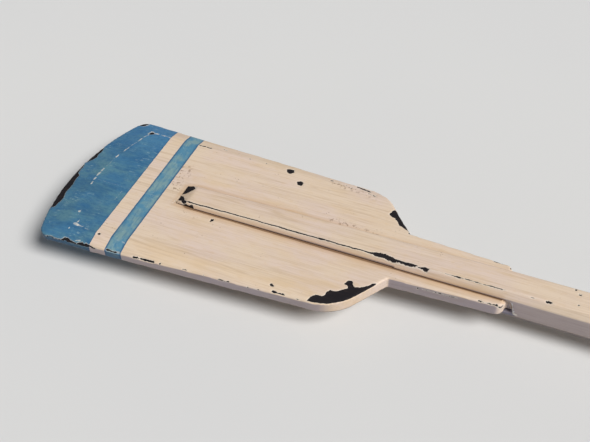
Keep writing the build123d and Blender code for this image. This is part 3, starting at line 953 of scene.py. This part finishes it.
def outwards(angle):
    turn = math.radians(angle)
    return np.array([0.0, math.cos(turn), math.sin(turn)])


def link(name, places, faces, material, node):
    """A smooth piece made of places and faces that stands for a CAD node."""
    mesh = bpy.data.meshes.new(name)
    mesh.from_pydata([tuple(place) for place in places], [], faces)
    mesh.shade_smooth()
    mesh.materials.append(material)
    obj = add_object(name, mesh)
    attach(obj, "root")
    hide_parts(node)
    return obj


def close_at_ends(length, edge, fine, coarse):
    """Positions along a length, close together within the edge at both ends."""
    near = np.linspace(0, edge, fine, endpoint=False)
    middle = np.linspace(edge, length - edge, coarse)
    return np.concatenate([near, middle, length - near[::-1]])


def wrap_leather(name, node, start, end, inner, outer, gap_angle, gap, top, grid, material):
    """Leather wrapped once round the loom: a closed sheet whose outer side is at outer plus
    top(x, across, edge), where across is the arc from the joint and edge the nearest edge."""
    rows = start + close_at_ends(end - start, 4 * MM, 12, grid[0])
    around = close_at_ends(2 * math.pi * outer - gap, 3 * MM, 10, grid[1])
    x, arc = np.meshgrid(rows, around, indexing="ij")
    turn = math.radians(gap_angle) + (arc + gap / 2) / outer
    across = np.where(arc < math.pi * outer, arc, arc - 2 * math.pi * outer + gap)
    edge = np.minimum(np.minimum(x - start, end - x), np.abs(across))
    radius = outer + top(x, across, edge, turn)
    layers = []
    for size in (radius, np.full_like(radius, inner)):
        layers.append(np.stack([x, size * np.cos(turn), axis_z + size * np.sin(turn)], axis=-1))
    places = np.concatenate([layer.reshape(-1, 3) for layer in layers])
    count, width = x.size, x.shape[1]
    faces = []
    for row in range(x.shape[0] - 1):
        for column in range(width - 1):
            first = row * width + column
            quad = (first, first + 1, first + width + 1, first + width)
            faces.append(quad)
            faces.append(tuple(corner + count for corner in reversed(quad)))
        for column, order in ((0, 1), (width - 1, -1)):
            first = row * width + column
            faces.append((first, first + width, first + width + count, first + count)[::order])
    for row, order in ((0, -1), (x.shape[0] - 1, 1)):
        for column in range(width - 1):
            first = row * width + column
            faces.append((first, first + 1, first + 1 + count, first + count)[::order])
    obj = link(name, places, faces, material, node)
    keep_values(obj.data, "edge", np.tile(edge.ravel() / MM, 2))
    middle = 1 - np.abs(x - (start + end) / 2) / ((end - start) / 2)
    keep_values(obj.data, "rubbed", np.tile(np.clip(middle * 1.6, 0.15, 1).ravel(), 2))
    return obj


def eased(edge, size, drop):
    """How far a rounded edge has dropped at a distance from it."""
    share = np.clip(1 - edge / size, 0, 1)
    return -drop * (1 - np.sqrt(1 - share ** 2 + 1e-9))


def rough_leather(x, turn, radius, size, height):
    """Slow unevenness over a wrapped sheet."""
    flat = np.stack([x, radius * np.cos(turn), radius * np.sin(turn)], axis=-1).reshape(-1, 3)
    values = [noise.fractal(Vector(place) / size, 1.0, 2.0, 3) for place in flat]
    return height * np.array(values).reshape(x.shape)


def dimple(x, turn, at, angle, radius, size, depth):
    """A round dent centred at a place on the wrap."""
    away = np.angle(np.exp(1j * (turn - math.radians(angle)))) * radius
    return -depth * np.exp(-((x - at) ** 2 + away ** 2) / size ** 2)


def stitch_places():
    """X of each stitch across the seam, which stops at the button."""
    first = sleeve_low.x + STITCH_MARGIN
    room = inner_strap_low.x - STITCH_MARGIN - first
    return [first + number * STITCH_PITCH for number in range(int(room / STITCH_PITCH + 1e-6) + 1)]


def sleeve_tack_places():
    rings = (sleeve_low.x + TACK_INSET, sleeve_high.x - TACK_INSET)
    return [(at, SEAM_ANGLE + 30 + 60 * number) for at in rings for number in range(6)]


def add_sleeve(material):
    def top(x, across, edge, turn):
        ends = np.minimum(x - sleeve_low.x, sleeve_high.x - x)
        height = eased(ends, 6 * MM, 1.5 * MM) + eased(np.abs(across), 1.6 * MM, 0.7 * MM)
        ripple = np.cos((x - stitch_places()[0]) / STITCH_PITCH * 2 * math.pi)
        height -= UNEVENNESS * (1 + ripple) * np.exp(-(across / (5 * MM)) ** 2)
        for at in stitch_places():
            for side in (-1, 1):
                hole = (x - at) ** 2 + (across - side * STITCH_REACH) ** 2
                height -= 0.5 * MM * np.exp(-hole / (1.1 * MM) ** 2)
        for at, angle in sleeve_tack_places():
            height += dimple(x, turn, at, angle, sleeve_radius, TACK_DENT, 0.35 * MM)
        pinch = np.exp(-((x - button_x) / (16 * MM)) ** 4)
        height += rough_leather(x, turn, sleeve_radius, 16 * MM, UNEVENNESS) * (1 - pinch)
        return np.minimum(height, 0.15 * MM * (1 - pinch))

    wrap_leather("sleeve", "leather_sleeve", sleeve_low.x, sleeve_high.x, wood_radius, sleeve_radius,
                 SEAM_ANGLE, SEAM_GAP, top, (150, 170), material)


def add_straps(material):
    for name, low, high, inner, outer, gap_angle in (
        ("inner_strap", inner_strap_low, inner_strap_high, sleeve_radius, inner_strap_radius, 215),
        ("outer_strap", outer_strap_low, outer_strap_high, inner_strap_radius, outer_strap_radius, 55),
    ):
        def top(x, across, edge, turn):
            height = eased(edge, 1.6 * MM, 1.2 * MM)
            if name == "outer_strap":
                for angle in BUTTON_TACK_ANGLES:
                    height += dimple(x, turn, button_x, angle, outer, TACK_DENT, 0.4 * MM)
            return height - np.abs(rough_leather(x, turn, outer, 11 * MM, UNEVENNESS))

        wrap_leather(name, "button_" + name, low.x, high.x, inner, outer, gap_angle, 0.6 * MM,
                     top, (24, 170), material)


def tube_faces(rows, sides):
    """Faces of a closed tube whose places are rows of sides, one after another."""
    faces = []
    for row in range(rows - 1):
        for side in range(sides):
            first, second = row * sides + side, row * sides + (side + 1) % sides
            faces.append((first, second, second + sides, first + sides))
    faces.append(tuple(reversed(range(sides))))
    faces.append(tuple(range((rows - 1) * sides, rows * sides)))
    return faces


def tube(points, sideways, radius, sides):
    """Places and faces of a closed tube round points; sideways is the way it never bends."""
    places = []
    for number, point in enumerate(points):
        before, after = points[max(number - 1, 0)], points[min(number + 1, len(points) - 1)]
        ahead = (after - before) / np.linalg.norm(after - before)
        up = np.cross(ahead, sideways)
        for side in range(sides):
            turn = 2 * math.pi * side / sides
            places.append(point + radius * (math.cos(turn) * sideways + math.sin(turn) * up))
    return places, tube_faces(len(points), sides)


def gather(parts):
    """Joins lists of places and faces into one."""
    places, faces = [], []
    for part_places, part_faces in parts:
        faces += [tuple(corner + len(places) for corner in face) for face in part_faces]
        places += part_places
    return places, faces


def add_stitching(material):
    """Two-ply stitches over the seam, their ends drawn down into the leather."""
    rng = np.random.default_rng(STITCH_SEED)
    parts = []
    for at in stitch_places():
        lean = rng.uniform(-0.5, 0.5) * MM
        slack = rng.uniform(0.0, 0.15) * MM
        for ply in (0, math.pi):
            points = []
            for share in np.linspace(-1, 1, 41):
                arc = share * STITCH_REACH
                height = sleeve_radius + THREAD_RADIUS + slack * (1 - share ** 2)
                dip = max(0.0, abs(share) - STITCH_SINK_START) / (1 - STITCH_SINK_START)
                height -= STITCH_SINK * dip
                twist = ply + share * PLY_TWIST
                turn = math.radians(SEAM_ANGLE) + arc / sleeve_radius
                height += PLY_OFFSET * math.sin(twist)
                place = at + lean * share + PLY_OFFSET * math.cos(twist)
                points.append(np.array([
                    place, height * math.cos(turn), axis_z + height * math.sin(turn)]))
            parts.append(tube(points, ALONG, PLY_RADIUS, 8))
    places, faces = gather(parts)
    link("stitching", places, faces, material, "sleeve_stitching")


def tack(at, angle, radius, rng):
    """A domed head, a little dented by the hammer."""
    out = outwards(angle)
    round_ways = (ALONG, np.cross(out, ALONG))
    centre = np.array([at, 0.0, axis_z]) + out * (radius - TACK_BED)
    tilt = rng.uniform(-0.06, 0.06, 2)
    dents = rng.uniform(0, 100, 3)
    sides, rows = 28, 9
    places = []
    for row in range(rows):
        rise = math.pi / 2 * row / (rows - 1)
        for side in range(sides):
            turn = 2 * math.pi * side / sides
            flat = TACK_RADIUS * math.cos(rise) ** 0.75 * (1 if row else 0.96)
            if row == rows - 1:
                flat = 0.04 * MM
            first, second = flat * math.cos(turn), flat * math.sin(turn)
            height = (TACK_HEIGHT + 0.1 * MM) * math.sin(rise) ** 0.85
            dent = noise.noise(Vector((first, second, 0)) / (1.5 * MM) + Vector(dents))
            height += 0.13 * MM * dent * (1 if row else 0)
            height += tilt[0] * first + tilt[1] * second
            places.append(centre + first * round_ways[0] + second * round_ways[1] + height * out)
    return places, tube_faces(rows, sides)


def add_tacks(material):
    rng = np.random.default_rng(TACK_SEED)
    rings = [tack(at, angle, sleeve_radius, rng) for at, angle in sleeve_tack_places()]
    places, faces = gather(rings)
    link("sleeve_ring_tacks", places, faces, material, "sleeve_tacks")
    ring = [tack(button_x, angle, outer_strap_radius, rng) for angle in BUTTON_TACK_ANGLES]
    places, faces = gather(ring)
    link("button_ring_tacks", places, faces, material, "button_tacks")


def add_leather_and_metal():
    leather = leather_material()
    add_sleeve(leather)
    add_straps(leather)
    add_stitching(thread_material())
    add_tacks(copper_material())
    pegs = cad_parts["joint_pegs"].data.materials
    pegs.clear()
    pegs.append(peg_material())


FLOOR_GREY = (0.655, 0.655, 0.66)
FLOOR_PALE = (0.665, 0.665, 0.665)


def add_floor():
    mesh = bpy.data.meshes.new("floor")
    reach = 60.0
    corners = [(-reach, -reach, 0), (reach, -reach, 0), (reach, reach, 0), (-reach, reach, 0)]
    mesh.from_pydata(corners, [], [(0, 1, 2, 3)])
    floor = add_object("floor", mesh)
    graph = Graph("floor_paper")
    shade = graph.step(graph.noise(2.5, 3, 0.5), 0.3, 0.7)
    mesh.materials.append(graph.finished(graph.mix(shade, FLOOR_GREY, FLOOR_PALE), 0.85))


add_camera()
add_lights()
add_floor()
add_wooden_pieces()
add_leather_and_metal()
